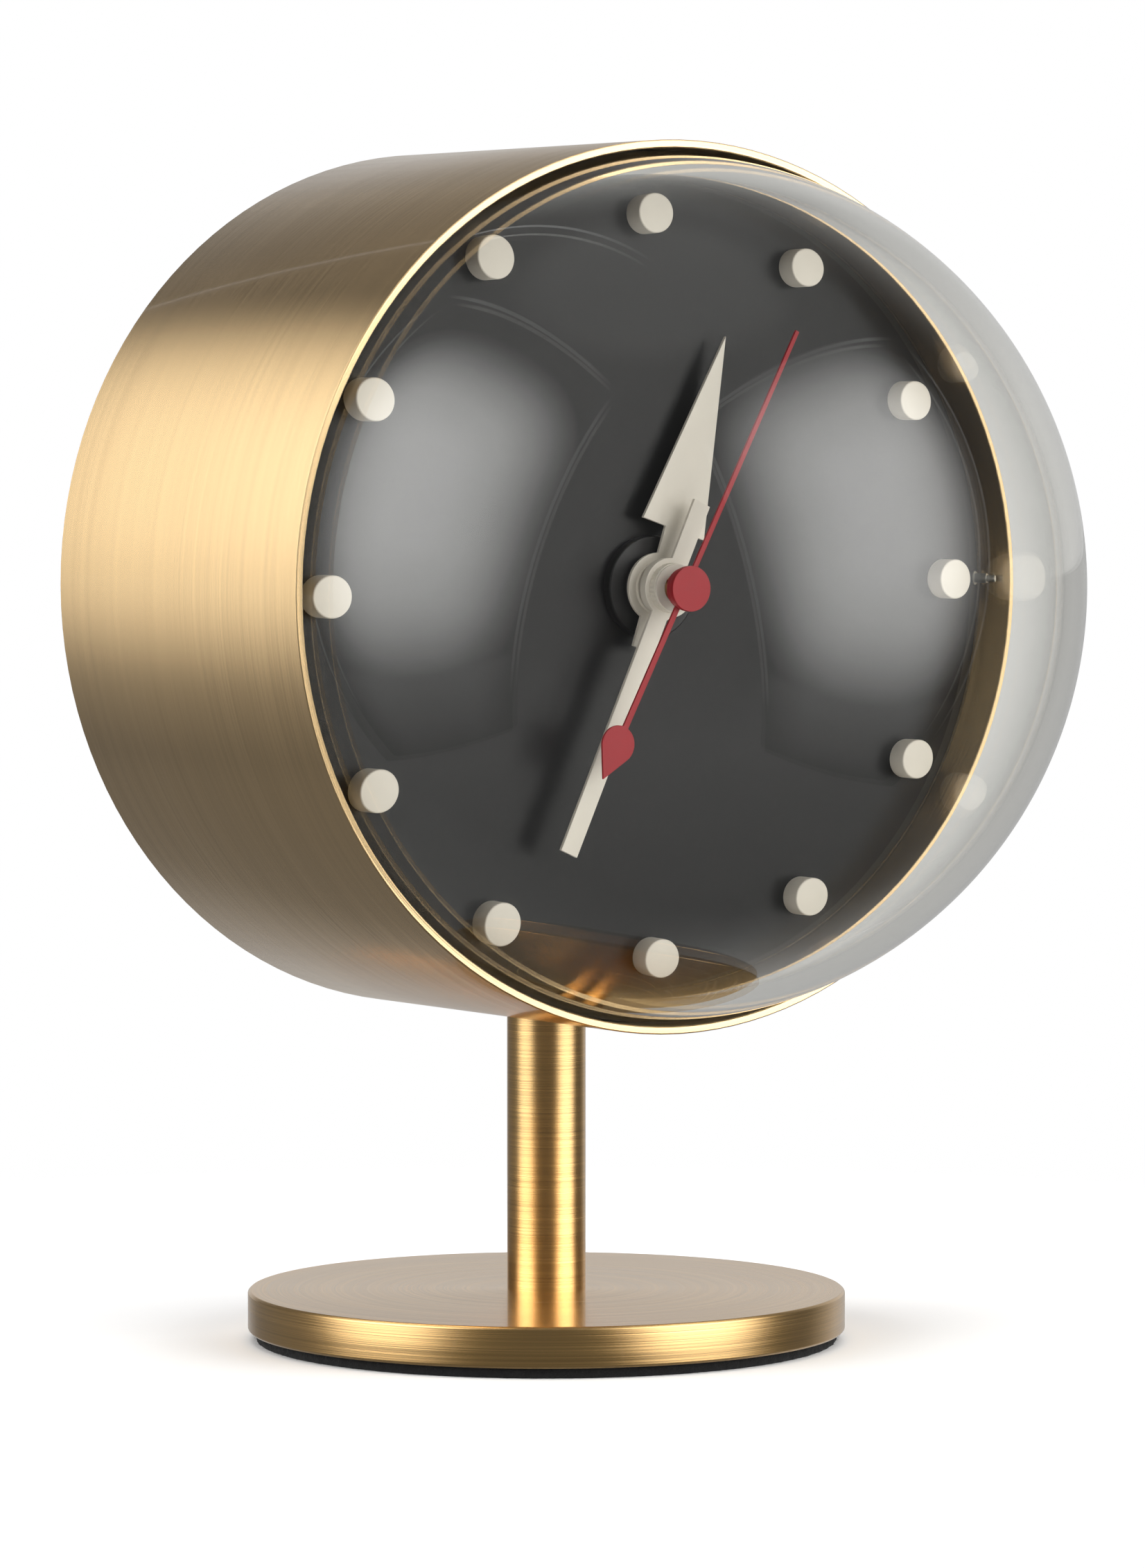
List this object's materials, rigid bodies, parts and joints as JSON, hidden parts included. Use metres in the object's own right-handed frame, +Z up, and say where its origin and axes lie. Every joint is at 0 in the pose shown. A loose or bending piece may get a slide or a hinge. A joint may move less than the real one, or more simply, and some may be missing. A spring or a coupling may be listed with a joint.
{
  "type": "table clock",
  "caption": "Round brushed-brass case with a clear dome over a black dial with studs and three hands, on a short stem and a round foot; the battery movement is inside.",
  "frame": {"origin": "centre of the foot's underside, on the surface that the clock stands on", "axes": "+Z up through the stem, -Y towards the reader out of the dial, +X to the reader's right"},
  "size_m": [0.11, 0.1157, 0.1512],
  "materials": {
    "brushed_brass": "brushed, satin lacquer",
    "clear_acrylic": "clear, polished",
    "steel": "zinc plated",
    "black_dial": "satin black",
    "cream_paint": "satin cream",
    "red_paint": "satin red",
    "black_nut": "semi-gloss black",
    "black_rubber": "matt",
    "black_plastic": "fine moulded grain",
    "knob_plastic": "moulded, ribbed edge",
    "gear_plastic": "moulded",
    "gear_brass": "machined",
    "copper_winding": "enamelled copper wire",
    "soft_iron": "stamped",
    "magnet": "ground",
    "green_board": "lacquered board",
    "quartz_can": "drawn can",
    "contact_strip": "nickel plated",
    "black_felt": "felt",
    "battery_wrap": "shrink wrap"
  },
  "bodies": {
    "clock": {"case_shell": "brushed_brass", "dome_lens": "clear_acrylic", "dome_screws": "steel", "dial_plate": "black_dial", "hour_markers": "cream_paint", "dial_nut": "black_nut", "movement_gasket": "black_rubber", "mounting_ring": "black_plastic", "movement_front": "black_plastic", "movement_case": "black_plastic", "coil": "copper_winding", "stator": "soft_iron", "circuit_board": "green_board", "quartz_crystal": "quartz_can", "battery_contacts": "contact_strip", "rear_cover": "black_plastic", "rear_screws": "steel", "stem": "brushed_brass", "stem_screw": "steel", "stem_washer": "steel", "base_disc": "brushed_brass", "base_screw": "steel", "felt_pad": "black_felt"},
    "second": {"second_hand": "red_paint", "second_wheel": "gear_plastic"},
    "rotor": {"rotor": "magnet"},
    "step": {"step_wheel": "gear_plastic"},
    "third": {"third_wheel": "gear_plastic"},
    "centre": {"centre_wheel": "gear_brass"},
    "minute": {"minute_hand": "cream_paint", "hand_nut": "cream_paint", "minute_pipe": "gear_brass"},
    "motion": {"motion_wheel": "gear_plastic"},
    "hour": {"hour_hand": "cream_paint", "hour_wheel": "gear_plastic"},
    "setting": {"setting_knob": "knob_plastic", "setting_pinion": "steel"},
    "battery": {"battery": "battery_wrap"}
  },
  "joints": [
    {"name": "second_turn", "type": "hinge", "parent": "clock", "child": "second", "pos_m": [0, -0.02, 0.09615], "axis": [0, 1, 0], "continuous": true},
    {"name": "rotor_turn", "type": "hinge", "parent": "clock", "child": "rotor", "pos_m": [-0.01222, -0.02, 0.10155], "axis": [0, 1, 0], "continuous": true},
    {"name": "step_turn", "type": "hinge", "parent": "clock", "child": "step", "pos_m": [-0.0091, -0.02, 0.09615], "axis": [0, 1, 0], "continuous": true},
    {"name": "third_turn", "type": "hinge", "parent": "clock", "child": "third", "pos_m": [0.009, -0.02, 0.09615], "axis": [0, 1, 0], "continuous": true},
    {"name": "centre_turn", "type": "hinge", "parent": "clock", "child": "centre", "pos_m": [0, -0.02, 0.09615], "axis": [0, 1, 0], "continuous": true},
    {"name": "minute_turn", "type": "hinge", "parent": "clock", "child": "minute", "pos_m": [0, -0.02, 0.09615], "axis": [0, 1, 0], "continuous": true},
    {"name": "motion_turn", "type": "hinge", "parent": "clock", "child": "motion", "pos_m": [0, -0.02, 0.10455], "axis": [0, 1, 0], "continuous": true},
    {"name": "hour_turn", "type": "hinge", "parent": "clock", "child": "hour", "pos_m": [0, -0.02, 0.09615], "axis": [0, 1, 0], "continuous": true},
    {"name": "setting_turn", "type": "hinge", "parent": "clock", "child": "setting", "pos_m": [0.00594, -0.02, 0.11049], "axis": [0, 1, 0], "continuous": true},
    {"name": "battery_slide", "type": "slide", "parent": "clock", "child": "battery", "axis": [0, 1, 0], "range_m": [0, 0.05]}
  ],
  "couplings": [
    {"joint": "step_turn", "follows": "second_turn", "ratio": -6},
    {"joint": "rotor_turn", "follows": "second_turn", "ratio": 30},
    {"joint": "third_turn", "follows": "second_turn", "ratio": -0.125},
    {"joint": "centre_turn", "follows": "second_turn", "ratio": 0.016667},
    {"joint": "motion_turn", "follows": "minute_turn", "ratio": -0.33333},
    {"joint": "hour_turn", "follows": "minute_turn", "ratio": 0.083333},
    {"joint": "setting_turn", "follows": "minute_turn", "ratio": 1}
  ]
}
